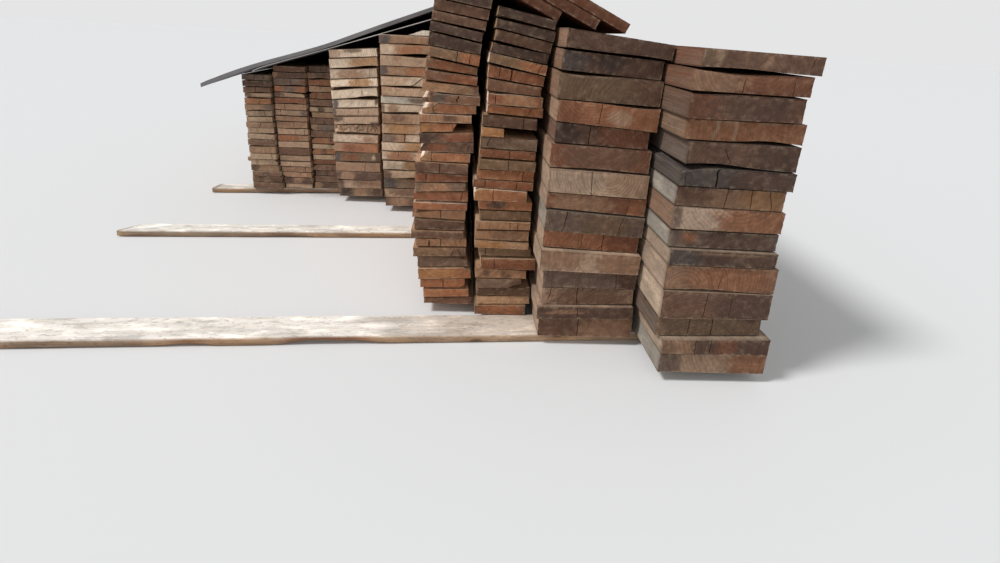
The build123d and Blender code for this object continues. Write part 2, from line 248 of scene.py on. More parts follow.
LOOKS[9] = [
    look("brown rust", Mark("olive", 0.06, 0.1), Mark("sand", 0.14, 0.03, 0.7, 0.7), Crack(0.9, 0.01, 0.4),
         Mark("tan", 0.54, 0.025, 0.4, 0.6, 0.05), Dip("bottom", 0.35, 0.003)),
    look("orange rust", Crack(0.43, 0.003, high=0.7), Crack(0.85, high=0.6, wide=0.0012),
         Mark("tan", 0.18, 0.3), Mark("rust", 0.8, 0.35, 0.6, 2.0, 0.1, 0.2), Dip("top", 0.4, 0.006)),
    look("red brown", Mark("umber", 0.6, 0.4), Dip("top", 0.1, wide=0.2)),
    look("orange tan", Mark("sand", 0.25, 0.012, 0.5, 0.8, 0.02, 0.4),
         Mark("sand", 0.41, 0.012, 0.5, 0.9, -0.01, 0.4), Dip("bottom", 0.7, 0.005, 0.2)),
    look("umber grey", Crack(0.35, -0.03, 0.1, 0.6, 0.0016), Mark("brown", 0.3, 0.3),
         Dip("bottom", 0.3, 0.006)),
    look("slate slate", Crack(0.33, 0.002, wide=0.0045), Crack(0.06, 0.004, 0.0, 0.8, 0.0016),
         Dip("top", 0.08, 0.009, 0.12), Mark("umber", 0.75, 0.3, 0.4), Wane("tl", 0.02, 0.012)),
    look("tan moss", Crack(0.46, 0.003), Crack(0.69, -0.003), Crack(0.87, -0.012),
         Mark("brown", 0.12, 0.2), Mark("gold", 0.8, 0.2, 0.6)),
    look("tan tan", Mark("cream", 0.22, 0.24, 0.5, 0.9, 0.08, 0.2), Mark("grey", 0.03, 0.05),
         Mark("orange", 0.75, 0.35)),
    look("grey moss", Mark("orange", 0.18, 0.07, 0.6, 0.35), Mark("dark", 0.4, 0.08, 0.9, 0.3),
         Mark("umber", 0.6, 0.3, 0.4)),
    look("umber cream", Mark("tan", 0.5, 0.4, 0.85, 0.08), Mark("slate", 0.1, 0.2)),
    look("tan cream", Crack(0.5, 0.006, -0.2, 0.6, 0.0016), Mark("orange", 0.6, 0.4), Dip("bottom", 0.4)),
    look("brown straw", Crack(0.4, 0.004), Crack(0.63, low=0.2, wide=0.0012), Mark("umber", 0.8, 0.3)),
    look("olive grey", Crack(0.31, 0.004), Crack(0.53), Mark("dark", 0.93, 0.08, 0.9, 0.12)),
    look("umber cream", Crack(0.31), Crack(0.45, 0.002), Mark("tan", 0.15), Mark("red", 0.6, 0.1),
         Crack(0.9, 0.012, 0.2, 1.2, 0.0012)),
    look("sand moss", Mark("grey", 0.08, 0.12), Mark("orange", 0.85, 0.2, 0.4)),
]


# How much darker or paler than its tones each column is, by colour channel, with some change of hue. This is
# painted light on columns 1 to 5 and painted shade on columns 8 and 9.
COLUMN_PAINTED_LIGHT = {
    1: (1.09, 1.14, 1.23), 2: (1.34, 1.34, 1.47), 3: (1.50, 1.60, 1.74), 4: (1.40, 1.46, 1.66),
    5: (1.33, 1.39, 1.54), 6: (1.21, 1.05, 0.98), 7: (1.06, 0.92, 0.83), 8: (0.81, 0.74, 0.76),
    9: (0.76, 0.73, 0.78),
}

# How far the ends of a column's boards stand open at a side, on average
GAPS = {1: 0.0008, 2: 0.0008, 3: 0.0008, 4: 0.0016, 5: 0.0016, 6: 0.0015, 7: 0.0015, 8: 0.001, 9: 0.001}


# Mesh building

Board = namedtuple("Board", "bottom top left right front back")

# Distances from a board's front end of its rings of points. The first four are used at its rear end too,
# and the rings between are one step apart.
STATIONS = (0.0, 0.0012, 0.006, 0.02, 0.05, 0.09, 0.14, 0.2, 0.27, 0.35, 0.45, 0.6, 0.8, 1.05, 1.3, 1.6, 1.9)
RING_STEP = 0.6

# Spacing of an end's points, and how near a point has to be to count as on it
CELL = 0.0055
ON_END = 0.001

# How far in from an end a gap, a dip, ragged edges and the end's own weathering reach
GAP_REACH = 0.12
DIP_REACH = 0.2
RAGGED_REACH = 0.05
END_FADE = 0.018

# Smooth and ragged unevenness of a board's wide faces and of its narrow ones
WIDE_WEAR = (0.0005, 0.0010)
NARROW_WEAR = (0.0015, 0.0026)

# Wear of the long corners, and how far the outline draws in at an end
CHIP = 0.0010
ARRIS = 0.0006

# An end's slope and lean, relief, cracks, rounded rim, and the rim that is rubbed pale
END_SLOPE = 0.003
END_LEAN = 0.001
END_RELIEF = 0.0006
SAW_RELIEF = 0.00022
CRACK_DEPTH = 0.009
CRACK_WANDER = 0.0014
ROUNDING = 0.0009
ROUNDING_REACH = 0.0018
RUB_REACH = 0.004

# Random change of tone from point to point, and the least angle of a sharp edge
SPECKLE = 0.13
SHARP_ANGLE = radians(38)


def solids_of(node):
    """Corner points of each separate solid of a CAD node, lowest solid first."""
    mesh = frame["nodes"][node].data
    points = np.array([v.co for v in mesh.vertices])
    keys, index = np.unique(np.round(points, 5), axis=0, return_inverse=True)
    index = index.reshape(-1)
    group = np.arange(len(keys))
    for polygon in mesh.polygons:
        members = group[index[list(polygon.vertices)]]
        group[np.isin(group, members)] = members.min()
    solids = [keys[group == label] for label in np.unique(group)]
    return sorted(solids, key=lambda corners: corners[:, 2].mean())


def board_of(corners):
    """Edges of a board that runs along Y: polylines of its front outline, and its two ends."""
    front = corners[:, 1].min()
    outline = corners[corners[:, 1] < front + ON_END][:, [0, 2]]
    middle = outline.mean(0)
    turn = np.arctan2(outline[:, 1] - middle[1], outline[:, 0] - middle[0])
    outline = outline[np.argsort(turn)]
    outline = np.roll(outline, -int(np.argmin(outline.sum(1))), axis=0)
    left = np.array([outline[0], *outline[3:][::-1]])
    return Board(outline[:2], outline[[3, 2]], left, outline[1:3], front, corners[:, 1].max())


def size_of(board):
    """Width and height of a board's end."""
    return np.linalg.norm(board.bottom[1] - board.bottom[0]), np.linalg.norm(board.left[-1] - board.left[0])


def axes_of(corners, ahead):
    """Rows: width, length and thickness directions of a square-edged board that runs along `ahead`."""
    spread_out = corners - corners.mean(0)
    _, _, axes = np.linalg.svd(spread_out, full_matrices=False)
    length = axes[0] * np.sign(axes[0] @ np.array(ahead))
    thick = axes[2] * np.sign(axes[2][2])
    return np.array([np.cross(length, thick), length, thick])


def along(line, shares):
    """Points at `shares` of the length of a polyline."""
    steps = np.linalg.norm(np.diff(line, axis=0), axis=1)
    reached = np.concatenate([[0.0], np.cumsum(steps)]) / steps.sum()
    return np.stack([np.interp(shares, reached, line[:, axis]) for axis in (0, 1)], axis=-1)


def ripple(rng, places, lengths, count=6):
    """Smooth random wave from -1 to 1 over `places`, with wavelengths between the two `lengths`."""
    total = np.zeros(np.broadcast(*places).shape)
    for _ in range(count):
        phase = rng.uniform(0, 2 * np.pi)
        for place, (short, long) in zip(places, lengths):
            phase = phase + place * 2 * np.pi / rng.uniform(short, long) * rng.choice((-1, 1))
        total += np.sin(phase)
    return total / count


def stations_for(length):
    """Distances from the front end at which a board has a ring of points."""
    near = np.array(STATIONS)
    near = near[near < 0.6 * length]
    far = length - np.array(STATIONS[:4])[::-1]
    middle = np.arange(near[-1], far[0] - 0.5 * RING_STEP, RING_STEP)[1:]
    return np.concatenate([near, middle, far])


def grid_faces(order):
    """Faces of a grid of points, given by their numbers, and the numbers along its rim."""
    quads = np.stack([order[:-1, :-1], order[:-1, 1:], order[1:, 1:], order[1:, :-1]], axis=-1)
    rim = np.concatenate([order[0, :-1], order[:-1, -1], order[-1, :0:-1], order[:0:-1, 0]])
    return quads.reshape(-1, 4), rim


def placed(name, data):
    """New object in the scene with a mesh, a light or a camera."""
    made = bpy.data.objects.new(name, data)
    bpy.context.scene.collection.objects.link(made)
    return made


def picked(features, kind):
    return [feature for feature in features if isinstance(feature, kind)]


def edge_lines(board, rng, s, t, v, features, gap):
    """The four long edges of the end outlines at each station: uneven, worn and cut where bark was."""
    width, height = size_of(board)
    station = v[:, None]
    arris = np.zeros(len(v))
    arris[[0, -1]] = ARRIS

    def near_ends(reach):
        return np.exp(-station / reach) + np.exp(-(v[-1] - station) / reach)

    def pull(coordinate, base, ragged):
        slow = 0.5 + 0.5 * ripple(rng, (coordinate, station), ((0.05, 0.4), (0.5, 3.0)))
        quick = 0.5 + 0.5 * ripple(rng, (coordinate, station), ((0.008, 0.03), (0.02, 0.3)), 9)
        return base * slow + ragged * quick * (0.35 + 0.65 * near_ends(RAGGED_REACH)) + arris[:, None]

    def wedge(edge):
        """Gap that opens toward one side, with the dips that the board shows."""
        open_left, open_right = gap * rng.exponential(1.0, 2).clip(0, 2.5)
        opened = 0.15 + 0.85 * near_ends(GAP_REACH).clip(0, 1)
        depth = (open_left + (open_right - open_left) * s[None]) * opened
        for dip in picked(features, Dip):
            if dip.edge == edge:
                worn = dip.deep * np.exp(-((s - dip.at) / dip.wide) ** 2)
                depth = depth + worn * np.exp(-station / DIP_REACH)
        return depth

    across = (s * width)[None]
    upward = (t * height)[None]
    down = np.array([board.bottom[0] - board.left[-1], board.bottom[1] - board.right[-1]])
    down = down.mean(0) / np.linalg.norm(down.mean(0))
    inward = (board.bottom[1] - board.bottom[0]) / width
    bottom = along(board.bottom, s) - (pull(across, *WIDE_WEAR) + wedge("bottom"))[..., None] * down
    top = along(board.top, s) + (pull(across, *WIDE_WEAR) + wedge("top"))[..., None] * down
    left = along(board.left, t) + pull(upward, *NARROW_WEAR)[..., None] * inward
    right = along(board.right, t) - pull(upward, *NARROW_WEAR)[..., None] * inward

    cuts = {name: (CHIP, CHIP) for name in ("bl", "br", "tl", "tr")}
    cuts.update({wane.corner: (wane.wide, wane.high) for wane in picked(features, Wane)})
    for name, (wide, high) in cuts.items():
        edge, side = (top if name[0] == "t" else bottom), (left if name[1] == "l" else right)
        inner = s * width if name[1] == "l" else (1 - s) * width
        rise = (1 - t) * height if name[0] == "t" else t * height
        swell = 1 + 0.4 * ripple(rng, (v,), ((0.15, 1.5),))[:, None]
        along_edge = np.clip(1 - inner[None] / (wide * swell), 0, None)
        along_side = np.clip(1 - rise[None] / (high * swell), 0, None)
        toward = down if name[0] == "t" else -down
        into = inward if name[1] == "l" else -inward
        for line, share in ((edge, along_edge), (side, along_side)):
            moved = (0.5 * high * swell * share)[..., None] * toward
            line += moved + (0.5 * wide * swell * share)[..., None] * into
    for edge, end in ((bottom, 0), (top, -1)):
        for side, corner in ((left, 0), (right, -1)):
            joint = 0.5 * (edge[:, corner] + side[:, end])
            edge[:, corner] = joint
            side[:, end] = joint
    return bottom, top, left, right, inward


def crack_places(s, width, cracks):
    """Shares across with three points at each crack, and the middle one of each."""
    for crack in cracks:
        half = 0.5 * crack.wide / width
        s = s[np.abs(s - crack.at) > half * 2.2]
        s = np.sort(np.concatenate([s, [crack.at - half, crack.at, crack.at + half]]))
    return s, [int(np.argmin(np.abs(s - crack.at))) for crack in cracks]


def marks_on(s, t, features, colour, vary, rng):
    """Tone of each point of an end, with its patches of other tones and its speckles."""
    tones = np.tile(colour, (len(t), len(s), 1))
    for mark in picked(features, Mark):
        offset = (s[None] - mark.at - mark.lean * (t[:, None] - 0.5)) / mark.wide
        distance = np.hypot(offset, (t[:, None] - mark.up) / mark.high)
        distance = distance + 0.45 * ripple(rng, (s[None], t[:, None]), ((0.04, 0.3), (0.2, 1.2)), 7)
        share = np.clip((1.0 - distance) / mark.soft + 0.5, 0, 1)[..., None]
        tones += (np.array(TONES[mark.tone]) * vary - tones) * share * share * (3 - 2 * share) * 0.9
    speckle = SPECKLE + sum(rough.share for rough in picked(features, Rough))
    tones[..., :3] *= 1 + speckle * rng.uniform(-1, 1, tones.shape[:2])[..., None]
    return tones


def board_mesh(board, rng, shown, vary, gap, stations=None):
    """Points, faces and point values of one rough board, its tones multiplied by `vary`."""
    features = shown.features
    colour = np.array(TONES[shown.tone]) * vary
    width, height = size_of(board)
    cracks = sorted(picked(features, Crack), key=lambda crack: crack.at)
    s, centres = crack_places(np.linspace(0, 1, max(10, int(width / CELL)) + 1), width, cracks)
    t = np.linspace(0, 1, max(4, int(height / CELL)) + 1)
    v = stations_for(board.back - board.front) if stations is None else stations
    bottom, top, left, right, inward = edge_lines(board, rng, s, t, v, features, gap)

    def cap(k, sign):
        """Grid of points of one end, filled in from its four edges."""
        u, w = s[None, :, None], t[:, None, None]
        grid = (1 - w) * bottom[k][None] + w * top[k][None]
        grid = grid + (1 - u) * left[k][:, None] + u * right[k][:, None]
        grid = grid - (1 - u) * (1 - w) * bottom[k][0] - u * (1 - w) * bottom[k][-1]
        grid = grid - (1 - u) * w * top[k][0] - u * w * top[k][-1]
        place = (s[None] * width, t[:, None] * height)
        depth = END_RELIEF * ripple(rng, place, ((0.02, 0.09), (0.01, 0.05)), 7)
        depth = depth + rng.uniform(-SAW_RELIEF, SAW_RELIEF, depth.shape)
        depth = depth + rng.uniform(-END_SLOPE, END_SLOPE) * (s[None] - 0.5)
        depth = depth + rng.uniform(-END_LEAN, END_LEAN) * (t[:, None] - 0.5)
        shade = np.zeros(depth.shape)
        if sign > 0 and cracks:
            shifts = [np.zeros(len(t))]
            for crack, centre in zip(cracks, centres):
                wander = CRACK_WANDER * ripple(rng, (t,), ((0.25, 0.9),), 4)
                shifts.append(crack.lean * (t - 0.5) + wander)
                inside = 1 / (1 + np.exp(-(t - crack.low) * 40)) / (1 + np.exp((t - crack.high) * 40))
                depth[:, centre] += inside * CRACK_DEPTH
                shade[:, centre] = inside
            shifts = np.array(shifts + [np.zeros(len(t))])
            anchors = [0.0] + [crack.at for crack in cracks] + [1.0]
            slide = np.array([np.interp(s, anchors, shifts[:, row]) for row in range(len(t))])
            grid = grid + slide[..., None] * inward
        to_edge = np.minimum(np.minimum(s, 1 - s)[None] * width, np.minimum(t, 1 - t)[:, None] * height)
        rounding = ROUNDING * np.exp(-to_edge / ROUNDING_REACH)
        depth = depth + rounding * (1 + 0.5 * ripple(rng, place, ((0.01, 0.05),) * 2))
        y = board.front + v[k] + sign * (depth - depth.min())
        return np.dstack([grid[..., 0], y, grid[..., 1]]), np.exp(-to_edge / RUB_REACH), shade

    last = len(v) - 1
    front, rim, shade = cap(0, 1)
    rear, rear_rim, rear_shade = cap(last, -1)
    size = len(t) * len(s)
    quads, loop = grid_faces(np.arange(size).reshape(len(t), len(s)))
    around = len(loop)
    rings = []
    for k in range(1, last):
        ring = np.concatenate([bottom[k][:-1], right[k][:-1], top[k][:0:-1], left[k][:0:-1]])
        rings.append(np.column_stack([ring[:, 0], np.full(around, board.front + v[k]), ring[:, 1]]))
    points = np.concatenate([front.reshape(-1, 3), *rings, rear.reshape(-1, 3)])
    second = size + (last - 1) * around

    ring_index = [loop] + [size + k * around + np.arange(around) for k in range(last - 1)] + [second + loop]
    walls = []
    for near, far in zip(ring_index[:-1], ring_index[1:]):
        walls.append(np.stack([near, far, np.roll(far, -1), np.roll(near, -1)], axis=-1))
    faces = np.concatenate([quads, *walls, second + quads[:, ::-1]])

    from_end = np.minimum(v[1:-1], v[-1] - v[1:-1])
    fade = np.repeat(np.clip(1 - from_end / END_FADE, 0, 1) * 0.7, around)
    inner = np.zeros(len(fade))
    ones = np.ones(size)
    seam = np.zeros(around)
    seam[np.cumsum([0, len(s) - 1, len(t) - 1, len(s) - 1])] = 1
    tones = marks_on(s, t, features, colour, vary, rng).reshape(size, 4)
    rear_tones = marks_on(s, t, [], colour, vary, rng).reshape(size, 4)
    ring_tones = [(tones if v[k] < 0.5 * v[-1] else rear_tones)[loop] for k in range(1, last)]
    values = {
        "end": np.concatenate([ones, fade, ones]),
        "wear": np.concatenate([rim.ravel(), inner, rear_rim.ravel()]),
        "crack": np.concatenate([shade.ravel(), inner, rear_shade.ravel()]),
        "seam": np.concatenate([0 * ones, np.tile(seam, last - 1), 0 * ones]),
        "tone": np.concatenate([tones, *ring_tones, rear_tones]),
        "side": np.tile(np.array(TONES[shown.side]) * vary, (len(points), 1)),
    }
    return points, faces, values


class Pile:
    """Gathers boards into one mesh with the point values that the wood material reads."""

    kinds = {"grain": "FLOAT_VECTOR", "tone": "FLOAT_COLOR", "side": "FLOAT_COLOR", "looks": "FLOAT_VECTOR",
             "wear": "FLOAT", "crack": "FLOAT", "end": "FLOAT", "seam": "FLOAT"}
    fields = {"FLOAT_VECTOR": "vector", "FLOAT_COLOR": "color", "FLOAT": "value"}

    def __init__(self):
        self.points = []
        self.faces = []
        self.count = 0
        self.values = {name: [] for name in self.kinds}

    def add(self, points, faces, values):
        self.points.append(points)
        self.faces.append(faces + self.count)
        self.count += len(points)
        for name in self.kinds:
            self.values[name].append(values[name])

    def make(self, name, material):
        mesh = bpy.data.meshes.new(name)
        points = np.concatenate(self.points)
        faces = np.concatenate(self.faces)
        mesh.vertices.add(len(points))
        mesh.vertices.foreach_set("co", points.astype(np.float32).ravel())
        mesh.loops.add(faces.size)
        mesh.loops.foreach_set("vertex_index", faces.astype(np.int32).ravel())
        mesh.polygons.add(len(faces))
        mesh.polygons.foreach_set("loop_start", np.arange(0, faces.size, 4, dtype=np.int32))
        mesh.update(calc_edges=True)
        mesh.validate()
        for value, kind in self.kinds.items():
            data = np.concatenate(self.values[value]).astype(np.float32)
            mesh.attributes.new(value, kind, "POINT").data.foreach_set(self.fields[kind], data.ravel())
        mesh.materials.append(material)
        mesh.polygons.foreach_set("use_smooth", np.ones(len(mesh.polygons), dtype=bool))
        mesh.set_sharp_from_angle(angle=SHARP_ANGLE)
        return placed(name, mesh)


# Material graphs

def add(tree, kind, values=None, **settings):
    """New shader node with its settings and its inputs' values or links."""
    node = tree.nodes.new("ShaderNode" + kind)
    for name, value in settings.items():
        setattr(node, name, value)
    for name, value in (values or {}).items():
        socket = node.inputs[name]
        if isinstance(value, bpy.types.NodeSocket):
            tree.links.new(value, socket)
        else:
            socket.default_value = value
    return node


def maths(tree, operation, first, second=0.0):
    return add(tree, "Math", {0: first, 1: second}, operation=operation).outputs[0]


def times(tree, first, second):
    return maths(tree, "MULTIPLY", first, second)


def plus(tree, first, second):
    return maths(tree, "ADD", first, second)


def vector(tree, operation, first, second):
    return add(tree, "VectorMath", {0: first, 1: second}, operation=operation).outputs[0]


def noise(tree, place, scale, detail=3.0, roughness=0.55):
    inputs = {"Vector": place, "Scale": scale, "Detail": detail, "Roughness": roughness}
    return add(tree, "TexNoise", inputs).outputs["Fac"]


def spread(tree, value, low, high, to_low=0.0, to_high=1.0):
    """Value mapped from one range to another, smoothly and clamped."""
    inputs = {"Value": value, "From Min": low, "From Max": high, "To Min": to_low, "To Max": to_high}
    return add(tree, "MapRange", inputs, interpolation_type="SMOOTHSTEP").outputs[0]


def mix(tree, share, first, second, blend="MIX"):
    made = add(tree, "Mix", {0: share, 6: first, 7: second}, data_type="RGBA", blend_type=blend)
    return made.outputs[2]


def where(tree, value, low, high, most, first, second):
    """First colour, with up to the share `most` of the second as the value goes from `low` to `high`."""
    return mix(tree, spread(tree, value, low, high, 0.0, most), first, second)


def attribute(tree, name, output):
    return add(tree, "Attribute", attribute_name=name).outputs[output]


def new_material(name):
    material = bpy.data.materials.new(name)
    material.use_nodes = True
    material.node_tree.nodes.clear()
    return material, material.node_tree


def surface(tree, inputs):
    """The material's shader, from its inputs' values or links."""
    shader = add(tree, "BsdfPrincipled", inputs)
    add(tree, "OutputMaterial", {"Surface": shader.outputs[0]})


# Noises of the wood: how each is stretched, its detail, its roughness and its shift
NOISES = {
    "fibre": ((520, 5, 520), 3.0, 0.65),
    "streak": ((70, 1.1, 70), 3.0, 0.55),
    "broad": ((16, 1.6, 22), 3.0, 0.55),
    "blotch": ((11, 2.4, 20), 4.0, 0.62, (3.1, 1.7, 8.3)),
    "mottle": ((60, 4, 80), 3.0, 0.5, (5.3, 2.9, 1.1)),
    "sawn": ((190, 3, 8), 3.0, 0.6, (1.3, 4.9, 6.1)),
    "specks": ((190, 60, 190), 2.0, 0.6, (7.1, 0.7, 3.3)),
    "patch": ((26, 9, 34), 4.0, 0.65, (2.2, 6.6, 4.4)),
}


# Layers of colour on the ends and on the long faces: the noise of each, the values at which it starts and
# is full, its share there, and the share and the colour of its tint
END_LAYERS = (
    ("mottle", 0.46, 0.80, 0.4, 0.25, (222, 190, 154)),
    ("mottle", 0.50, 0.24, 0.24, 0.55, (52, 36, 28)),
    ("sawn", 0.56, 0.34, 0.34, 0.55, (52, 36, 28)),
    ("fibre", 0.48, 0.28, 0.5, 0.6, (44, 34, 28)),
)
SIDE_LAYERS = (
    ("streak", 0.54, 0.34, 0.10, 0.5, (112, 86, 62)),
    ("fibre", 0.42, 0.66, 0.2, 0.5, (236, 226, 208)),
    ("mottle", 0.46, 0.24, 0.25, 0.5, (112, 86, 62)),
    ("specks", 0.56, 0.68, 0.6, 0.7, (84, 66, 52)),
    ("broad", 0.46, 0.68, 0.5, 0.5, (124, 116, 104)),
    ("blotch", 0.54, 0.70, 0.55, 0.5, (84, 66, 50)),
    ("patch", 0.50, 0.64, 0.6, 0.6, (92, 78, 62)),
)


def layered(tree, tone, colour, noises, layers):
    """The colour with layers over it, each of the board's tone mixed with a tint."""
    for name, low, high, most, strength, tint in layers:
        over = mix(tree, strength, tone, srgb(*tint))
        colour = where(tree, noises[name], low, high, most, colour, over)
    return colour


def grain_noise(tree, grain, stretch, detail, roughness, shift=(0, 0, 0)):
    place = vector(tree, "MULTIPLY", vector(tree, "ADD", grain, shift), stretch)
    return noise(tree, place, 1.0, detail, roughness)


def ring_pattern(tree, grain, ring_step):
    """Late wood of the year rings, and broad bands of them, round a bent log's middle."""
    place = vector(tree, "MULTIPLY", grain, (14, 0.9, 14))
    bend = add(tree, "TexNoise", {"Vector": place, "Scale": 1.0, "Detail": 2.0}).outputs["Color"]
    offset = vector(tree, "MULTIPLY", vector(tree, "SUBTRACT", bend, (0.5, 0.5, 0.5)), (0.03, 0, 0.03))
    flat = vector(tree, "MULTIPLY", vector(tree, "ADD", grain, offset), (1, 0, 1))
    reach = add(tree, "VectorMath", {0: flat}, operation="LENGTH").outputs["Value"]
    rings = maths(tree, "FRACT", maths(tree, "DIVIDE", reach, ring_step))
    across = add(tree, "CombineXYZ", {0: times(tree, reach, 90.0)}).outputs[0]
    return spread(tree, rings, 0.45, 0.95), noise(tree, across, 1.0, 2.0)


def end_grain(tree, tone, late, band, stain_weight, grey_weight, noises):
    """Colour of a sawn end: rings, pores, upright saw streaks, weathering and stains over its tone."""
    deep = mix(tree, 0.55, tone, srgb(52, 36, 28))
    ringed = mix(tree, times(tree, late, 0.48), tone, deep)
    banded = where(tree, band, 0.42, 0.66, 0.48, ringed, deep)
    pored = layered(tree, tone, banded, noises, END_LAYERS)
    grey = times(tree, spread(tree, noises["broad"], 0.42, 0.68), grey_weight)
    greyed = mix(tree, grey, pored, mix(tree, 0.4, tone, srgb(92, 78, 66)))
    stain = times(tree, spread(tree, noises["blotch"], 0.48, 0.68), stain_weight)
    return mix(tree, stain, greyed, mix(tree, 0.66, tone, srgb(38, 30, 26)))


def knots(tree, grain):
    """Hearts and rims of knots, scattered through the wood."""
    place = vector(tree, "MULTIPLY", grain, (9, 5, 9))
    cells = add(tree, "TexVoronoi", {"Vector": place, "Scale": 1.0})
    reach = plus(tree, cells.outputs["Distance"], times(tree, noise(tree, grain, 90.0), 0.03))
    return spread(tree, reach, 0.12, 0.08), spread(tree, reach, 0.24, 0.11)


def long_grain(tree, side, late, band, grain, noises):
    """Colour of a board's long faces: streaks that follow the rings, knots, grey and brown weathering."""
    heart, rim = knots(tree, grain)
    deep = mix(tree, 0.5, side, srgb(112, 86, 62))
    lined = mix(tree, times(tree, late, 0.16), side, deep)
    banded = where(tree, band, 0.40, 0.68, 0.18, lined, deep)
    patched = layered(tree, side, banded, noises, SIDE_LAYERS)
    chalk = mix(tree, 1.0, side, (1.45, 1.43, 1.38, 1.0), "MULTIPLY")
    chalky = where(tree, noises["patch"], 0.46, 0.32, 0.7, patched, chalk)
    ringed = mix(tree, times(tree, rim, 0.45), chalky, mix(tree, 0.6, side, srgb(120, 84, 54)))
    return mix(tree, times(tree, heart, 0.85), ringed, mix(tree, 0.8, side, srgb(70, 46, 32)))


def sawn_wood(name, relief):
    """Rough sawn wood: rings on the ends and long grain on the sides, both from one round log's pattern."""
    material, tree = new_material(name)
    grain = attribute(tree, "grain", "Vector")
    looks = add(tree, "SeparateXYZ", {0: attribute(tree, "looks", "Vector")})
    stain_weight, grey_weight, ring_step = looks.outputs
    is_end = attribute(tree, "end", "Fac")
    late, band = ring_pattern(tree, grain, ring_step)
    noises = {kind: grain_noise(tree, grain, *numbers) for kind, numbers in NOISES.items()}

    tone = attribute(tree, "tone", "Color")
    side = attribute(tree, "side", "Color")
    ends = end_grain(tree, tone, late, band, stain_weight, grey_weight, noises)
    bare = spread(tree, noises["streak"], 0.46, 0.66, 0.0, 0.4)
    rubbed = times(tree, attribute(tree, "wear", "Fac"), bare)
    ends = mix(tree, rubbed, ends, mix(tree, 0.5, tone, srgb(216, 196, 168)))
    sides = long_grain(tree, side, late, band, grain, noises)
    # Painted shade: the long faces darken toward the long corners where boards meet, by an amount a noise
    # varies
    dirt = spread(tree, noises["broad"], 0.35, 0.62, 0.25, 0.85)
    painted_seam_shade = times(tree, attribute(tree, "seam", "Fac"), dirt)
    sides = mix(tree, painted_seam_shade, sides, mix(tree, 0.8, side, srgb(52, 42, 34)))
    colour = mix(tree, is_end, sides, ends)
    # Painted shade: the cracks are darkened nearly to black, as the shade inside them
    dark = times(tree, attribute(tree, "crack", "Fac"), 0.88)
    split = mix(tree, dark, colour, srgb(22, 17, 14))

    # Relief: saw marks, fibre and rings
    place = add(tree, "SeparateXYZ", {0: grain})
    wander = times(tree, noises["broad"], 0.004)
    lean = plus(tree, place.outputs[0], times(tree, place.outputs[2], 0.35))
    end_marks = maths(tree, "SINE", times(tree, plus(tree, lean, wander), 1500.0))
    slant = plus(tree, place.outputs[1], times(tree, place.outputs[2], 0.25))
    side_marks = maths(tree, "SINE", times(tree, slant, 1150.0))
    marks = add(tree, "Mix", {0: is_end, 2: side_marks, 3: end_marks}).outputs[0]
    height = plus(tree, times(tree, marks, 0.12), times(tree, noises["fibre"], 1.1))
    height = plus(tree, height, times(tree, late, 0.25))
    height = plus(tree, height, times(tree, noises["streak"], 0.5))
    bump = add(tree, "Bump", {"Strength": relief, "Distance": 0.0010, "Height": height})
    roughness = spread(tree, noises["fibre"], 0.3, 0.7, 0.95, 0.78)
    surface(tree, {"Base Color": split, "Normal": bump.outputs[0], "Roughness": roughness,
                   "Specular IOR Level": 0.22})
    return material


def sheet_material(name, base, light, dust):
    """Weathered sheet with dust, faint streaks across the slope and specks."""
    material, tree = new_material(name)
    place = add(tree, "TexCoord").outputs["Object"]
    cloud = noise(tree, vector(tree, "MULTIPLY", place, (3.0, 1.1, 3.0)), 1.0, 5.0, 0.6)
    fine = noise(tree, place, 420.0, 3.0, 0.6)
    streak = noise(tree, vector(tree, "MULTIPLY", place, (2.5, 38, 2.5)), 1.0, 3.0)
    clouded = mix(tree, spread(tree, cloud, 0.38, 0.68), base, light)
    dusty = where(tree, streak, 0.5, 0.75, 0.35, clouded, dust)
    specked = where(tree, fine, 0.56, 0.74, 0.4, dusty, dust)
    height = plus(tree, fine, times(tree, cloud, 2.0))
    bump = add(tree, "Bump", {"Strength": 0.5, "Distance": 0.0008, "Height": height})
    surface(tree, {"Base Color": specked, "Normal": bump.outputs[0], "Roughness": 0.75})
    return material


WOOD = {
    "boards": sawn_wood("board_wood", 0.8),
    "pale_boards": sawn_wood("pale_wood", 0.7),
    "bearers": sawn_wood("bearer_wood", 0.9),
}


def add_board(pile, corners, shown, rng, axes=np.eye(3), shade=(1.0, 1.0, 1.0), dress=None, **shape):
    """One board with its own log pattern and weathering. `axes` straightens a board that lies askew."""
    board = board_of(corners @ axes.T)
    # `shade` multiplies the tones; for the columns, the loose boards and bearer 2 it is painted light and
    # shade
    vary = np.append(rng.uniform(0.9, 1.1) * np.array(shade), 1.0)
    points, faces, values = board_mesh(board, rng, shown, vary, **shape)
    if dress is not None:
        dress(points, values, rng)
    pith = np.array([rng.uniform(-0.09, 0.09), 0.0, rng.choice((-1, 1)) * rng.uniform(0.02, 0.09)])
    values["grain"] = points - points.mean(0) - pith
    values["grain"][:, 1] += rng.uniform(-40, 40)
    weathering = (rng.uniform(0.1, 0.6), rng.uniform(0.0, 0.4), rng.uniform(0.0045, 0.0100))
    values["looks"] = np.tile(weathering, (len(points), 1))
    pile.add(points @ axes, faces, values)


def place_piece(pile, name, nodes, slot):
    piece = pile.make(name, WOOD[slot])
    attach(piece, "root")
    for node in nodes:
        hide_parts(node)


# Columns of boards

SLOTS = {4: "pale_boards", 5: "pale_boards"}


